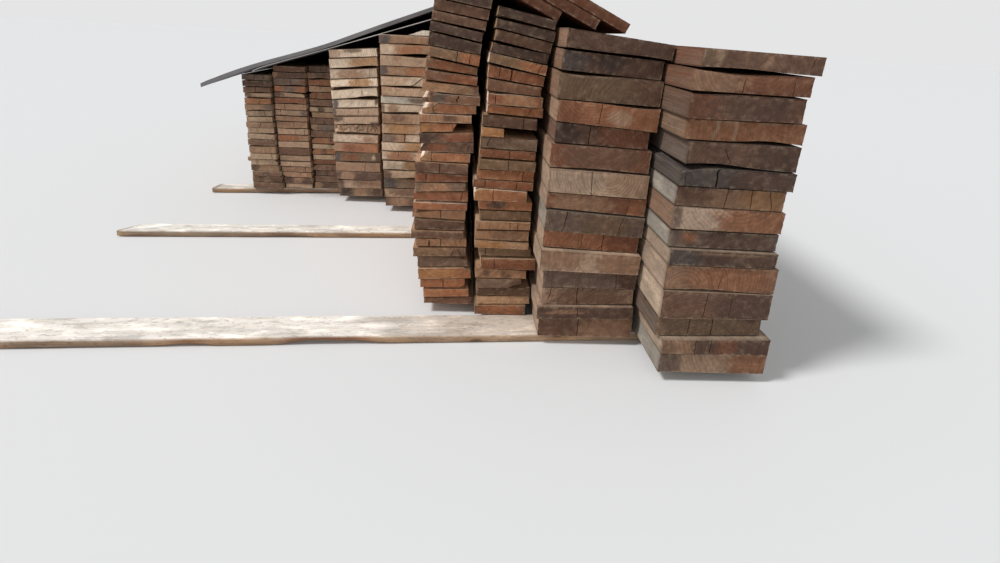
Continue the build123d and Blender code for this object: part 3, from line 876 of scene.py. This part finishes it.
def random_features(rng):
    """Some cracks, patches, worn dips and bark edges for a board that the photograph shows small."""
    found = []
    for place in sorted(rng.uniform(0.12, 0.88, rng.choice((0, 0, 1, 1, 2)))):
        if found and place - found[-1].at < 0.2:
            continue
        low, high = ((-0.2, 1.2), (-0.2, 0.6), (0.35, 1.2))[rng.integers(3)]
        found.append(Crack(place, rng.uniform(-0.008, 0.008), low, high, rng.uniform(0.0010, 0.0026)))
    if rng.random() < 0.4:
        tone = ("umber", "tan", "brown", "grey")[rng.integers(4)]
        place = rng.choice((0.05, 0.5, 0.95))
        found.append(Mark(tone, place, up=rng.uniform(0.2, 0.8), wide=rng.uniform(0.08, 0.3)))
    if rng.random() < 0.5:
        found.append(Dip(("top", "bottom")[rng.integers(2)], rng.uniform(0, 1), rng.uniform(0.001, 0.004)))
    if rng.random() < 0.15:
        found.append(Wane(("bl", "br", "tl", "tr")[rng.integers(4)], 0.014, 0.010))
    return tuple(found)


def column_piece(number):
    """All boards of one column as one piece."""
    node = "column_%d_boards" % number
    pile = Pile()
    for index, (corners, shown) in enumerate(zip(solids_of(node), LOOKS[number][::-1])):
        rng = np.random.default_rng(1000 * number + index)
        if number < 4:
            shown = shown._replace(features=random_features(rng))
        add_board(pile, corners, shown, rng, shade=COLUMN_PAINTED_LIGHT[number], gap=GAPS[number])
    place_piece(pile, "column_%d" % number, [node], SLOTS.get(number, "boards"))


for number in range(1, 10):
    column_piece(number)


# Bearers, loose boards and the edging strip

BEARER_LOOK = look("sand bleached", Wane("tr", 0.006, 0.006), Wane("br", 0.006, 0.006))
BEARER_STEP = 0.03
BEARER_GAP = 0.0004
# Bearer 2 is painted paler than the others: painted light against the shade of the columns on it
BEARER_PAINTED_LIGHT = {2: (0.99, 1.0, 1.0)}
OTHER_SHADE = (0.93, 0.92, 0.92)

# How far the bark edge rises, steps back and waves, and the width of the front edge that it colours
BARK_RISE = 0.013
BARK_INSET = 0.006
BARK_WAVE = 0.0015
FRONT_EDGE = 0.012

# By bearer, along it from its left end: bark dips (middle, half length, share of the depth), the
# stretch with moss, how far the back corner of the end is cut, and where it turns darker sand under the
# columns
Weather = namedtuple("Weather", "bark moss cut dirt")
WEATHER = {
    1: Weather(((0.59, 0.05, 0.5), (0.93, 0.11, 1.0)), (0.15, 0.52), 0.0, 0.95),
    2: Weather(((0.60, 0.08, 0.3),), (0.0, 0.62), 0.06, 1.5),
}
OTHER_WEATHER = Weather(((0.4, 0.2, 0.4), (1.5, 0.2, 0.7)), (0.1, 1.2), 0.02, 1.2)


def blend_tone(values, share, tone):
    """Move the long faces' colour toward a tone by a share at each point."""
    values["side"] += share[:, None] * (np.array(TONES[tone]) - values["side"])


def dress_bearer(number):
    """Bark dips and weathering along a bearer's front edge, and darker sand where the columns stand on it.
    """
    weather = WEATHER.get(number, OTHER_WEATHER)

    def dress(points, values, rng):
        across, run, height = (points - points.min(0)).T
        width, _, thick = np.ptp(points, axis=0)
        inside = width - across
        values["seam"][:] = 0
        wave = 0.5 + 0.5 * ripple(rng, (run,), ((0.06, 0.5),))
        dips = [deep * np.exp(-((run - middle) / half) ** 4) for middle, half, deep in weather.bark]
        bark = sum(dips) * (0.6 + 0.4 * wave)
        low = 1 - height / thick
        points[:, 2] += (BARK_RISE * bark + BARK_WAVE * wave) * np.clip(1 - inside / 0.03, 0, 1) * low ** 2
        points[:, 0] -= BARK_INSET * bark * np.clip(1 - inside / 0.05, 0, 1) * low
        points[:, 1] += weather.cut * (1 - across / width) * np.exp(-run / 0.05)
        patches = np.clip(1.6 * ripple(rng, (run, across), ((0.04, 0.5), (0.01, 0.1)), 8), 0, 1)
        blend_tone(values, 0.45 * patches, "straw")
        on_front = np.clip(2 - inside / FRONT_EDGE, 0, 1) * np.clip(4 * low - 0.1, 0, 1)
        first, last = weather.moss
        moss = np.clip((run - first) / 0.05, 0, 1) * np.clip((last - run) / 0.05, 0, 1)
        blend_tone(values, on_front * (0.85 + 0.15 * wave), "gold")
        blend_tone(values, on_front * moss * (0.4 + 0.5 * wave), "grey")
        blend_tone(values, on_front * np.clip(bark * 1.5, 0, 1), "rust")
        blend_tone(values, 0.5 * np.clip((run - weather.dirt) / 0.3, 0, 1), "sand")

    return dress


LOOSE_LOOKS = (look("red rust"), look("red red"), look("rust rust"))
# The loose boards are painted darker: painted shade, as their undersides lie in shade
LOOSE_PAINTED_SHADE = (0.62, 0.56, 0.56)
STRIP_LOOK = look("white bleached")
LOOSE_GAP = 0.0005

bearers = Pile()
bearer_nodes = sorted(name for name in frame["nodes"] if name.startswith("bearer"))
for number, node in enumerate(bearer_nodes, 1):
    corners = solids_of(node)[0]
    axes = axes_of(corners, (1, 0, 0))
    length = np.ptp(corners @ axes[1])
    stations = np.append(np.arange(0.0, length, BEARER_STEP)[:-1], length)
    shade = BEARER_PAINTED_LIGHT.get(number, OTHER_SHADE)
    add_board(bearers, corners, BEARER_LOOK, np.random.default_rng(50 + number), axes, shade=shade,
              dress=dress_bearer(number), gap=BEARER_GAP, stations=stations)
place_piece(bearers, "bearers", bearer_nodes, "bearers")

loose = Pile()
loose_nodes = sorted(name for name in frame["nodes"] if name.startswith("loose"))
for number, (node, board_look) in enumerate(zip(loose_nodes, LOOSE_LOOKS)):
    corners = solids_of(node)[0]
    axes = axes_of(corners, (0, 1, 0))
    add_board(loose, corners, board_look, np.random.default_rng(80 + number), axes, shade=LOOSE_PAINTED_SHADE,
              gap=LOOSE_GAP)
place_piece(loose, "loose_boards", loose_nodes, "boards")

strip = Pile()
add_board(strip, solids_of("edging_strip")[0], STRIP_LOOK, np.random.default_rng(95), gap=LOOSE_GAP)
place_piece(strip, "edging", ["edging_strip"], "pale_boards")


# Cover sheets

# Spacing of a sheet's points, half the width of a rounded bend, height of the waves, and wear of its
# ends and of its left side
SHEET_STEP = 0.03
BEND = 0.05
SAG = 0.0015
END_FRAY = 0.004
SIDE_FRAY = 0.003


def smooth_line(line, x):
    """Height of a polyline at x, with its bends rounded."""
    offsets = np.linspace(-BEND, BEND, 9)
    near = np.clip(x[:, None] + offsets[None], line[0, 0], line[-1, 0])
    raised = np.interp(near, line[:, 0], line[:, 1]).mean(1)
    pull = np.clip(np.minimum(x - line[0, 0], line[-1, 0] - x) / BEND, 0, 1)
    return np.interp(x, line[:, 0], line[:, 1]) * (1 - pull) + raised * pull


def cover_piece(node, rng, materials):
    """Thin bent sheet with slight waves, a worn rim and its edges in the second material."""
    corners = solids_of(node)[0]
    front, back = corners[:, 1].min(), corners[:, 1].max()
    outline = corners[corners[:, 1] < front + ON_END][:, [0, 2]]
    order = outline[np.argsort(outline[:, 0])].reshape(-1, 2, 2)
    lower = np.array([pair[np.argmin(pair[:, 1])] for pair in order])
    upper = np.array([pair[np.argmax(pair[:, 1])] for pair in order])
    start = lower[0, 0]
    end = lower[-1, 0]
    rear_start = corners[corners[:, 1] > back - ON_END][:, 0].min()
    corner_depth = np.unique(np.round(corners[:, 1] - front, 4))[1]

    shares = np.linspace(0, 1, int((end - start) / SHEET_STEP) + 1)
    y = np.linspace(front, back, int((back - front) / SHEET_STEP) + 1)
    if rear_start > start + ON_END:
        y = np.sort(np.append(y, front + corner_depth))
    left = start + (rear_start - start) * np.clip((y - front) / corner_depth, 0, 1)
    x = left[:, None] + (end - left[:, None]) * shares[None]
    wave = SAG * ripple(rng, (x, y[:, None]), ((0.3, 1.2), (0.4, 2.0)), 7)
    top = smooth_line(upper, x.ravel()).reshape(x.shape) - SAG + wave
    bottom = smooth_line(lower, x.ravel()).reshape(x.shape) + 0.4 * SAG + 0.3 * wave
    rim_y = np.tile(y[:, None], (1, len(shares)))
    fray = END_FRAY * (0.5 + 0.5 * ripple(rng, (shares * (end - start),), ((0.02, 0.3),), 9))
    rim_y[0] += fray
    rim_y[-1] -= fray[::-1]
    x[:, 0] += SIDE_FRAY * (0.5 + 0.5 * ripple(rng, (y,), ((0.02, 0.3),), 9))
    layers = [np.dstack([x, rim_y, z]).reshape(-1, 3) for z in (top, bottom)]
    count = x.size
    quads, loop = grid_faces(np.arange(count).reshape(x.shape))
    rim = np.stack([loop + count, np.roll(loop, -1) + count, np.roll(loop, -1), loop], axis=-1)
    mesh = bpy.data.meshes.new(node)
    faces = np.concatenate([quads, quads[:, ::-1] + count, rim])
    mesh.from_pydata(np.concatenate(layers).tolist(), [], faces.tolist())
    for material in materials:
        mesh.materials.append(material)
    for polygon in mesh.polygons:
        polygon.material_index = int(polygon.index >= 2 * len(quads))
        polygon.use_smooth = True
    mesh.set_sharp_from_angle(angle=SHARP_ANGLE)
    piece = placed(node.replace("cover_", "") + "_sheet", mesh)
    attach(piece, "root")
    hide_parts(node)


SHEET_FACE = sheet_material("cover_face", srgb(82, 84, 92), srgb(106, 108, 114), srgb(136, 134, 130))
GREY_EDGE = sheet_material("grey_edge", srgb(92, 90, 92), srgb(116, 114, 114), srgb(150, 148, 142))
# The lower sheet's edges are painted near white: a painted highlight where light catches them
PAINTED_LIT_EDGE = sheet_material("painted_lit_edge", srgb(214, 212, 210), srgb(236, 234, 230), srgb(180, 178, 174))
cover_piece("cover_sheet_lower", np.random.default_rng(61), (SHEET_FACE, PAINTED_LIT_EDGE))
cover_piece("cover_sheet_upper", np.random.default_rng(62), (SHEET_FACE, GREY_EDGE))


# Floor, light and camera

def floor():
    size = 60.0
    corners = [(-size, -size, 0.0), (size, -size, 0.0), (size, size, 0.0), (-size, size, 0.0)]
    mesh = bpy.data.meshes.new("floor")
    mesh.from_pydata(corners, [], [(0, 1, 2, 3)])
    material, tree = new_material("floor")
    surface(tree, {"Base Color": srgb(222, 222, 222), "Roughness": 0.9, "Specular IOR Level": 0.1})
    mesh.materials.append(material)
    placed("floor", mesh)


def sun(name, direction, strength, softness):
    """Even light from a direction, with soft shadows."""
    data = bpy.data.lights.new(name, "SUN")
    data.energy = strength
    data.angle = radians(softness)
    placed(name, data).rotation_euler = (-Vector(direction)).to_track_quat("-Z", "Y").to_euler()


def world(strength, seen):
    """Even sky light, with a plain background of its own where the camera sees it."""
    made = bpy.data.worlds.new("world")
    made.use_nodes = True
    tree = made.node_tree
    light = tree.nodes["Background"]
    light.inputs["Color"].default_value = (0.96, 0.98, 1.0, 1.0)
    light.inputs["Strength"].default_value = strength
    backdrop = add(tree, "Background", {"Color": seen, "Strength": 1.0})
    path = add(tree, "LightPath").outputs["Is Camera Ray"]
    both = add(tree, "MixShader", {0: path, 1: light.outputs[0], 2: backdrop.outputs[0]})
    tree.links.new(both.outputs[0], tree.nodes["World Output"].inputs["Surface"])
    bpy.context.scene.world = made


def camera():
    data = bpy.data.cameras.new("camera")
    data.sensor_width = CAMERA_SENSOR
    data.lens = CAMERA_LENS
    data.clip_start = 0.05
    data.clip_end = 200.0
    made = placed("camera", data)
    made.location = CAMERA_PLACE
    made.rotation_euler = Euler([radians(angle) for angle in CAMERA_TURN], "XYZ")
    bpy.context.scene.camera = made


floor()
world(0.46, srgb(229, 229, 230))
sun("key", (-0.6, -0.25, 0.75), 2.4, 14.0)
sun("fill", (0.05, -0.97, 0.12), 1.15, 60.0)
camera()
bpy.context.scene.view_settings.view_transform = "Standard"
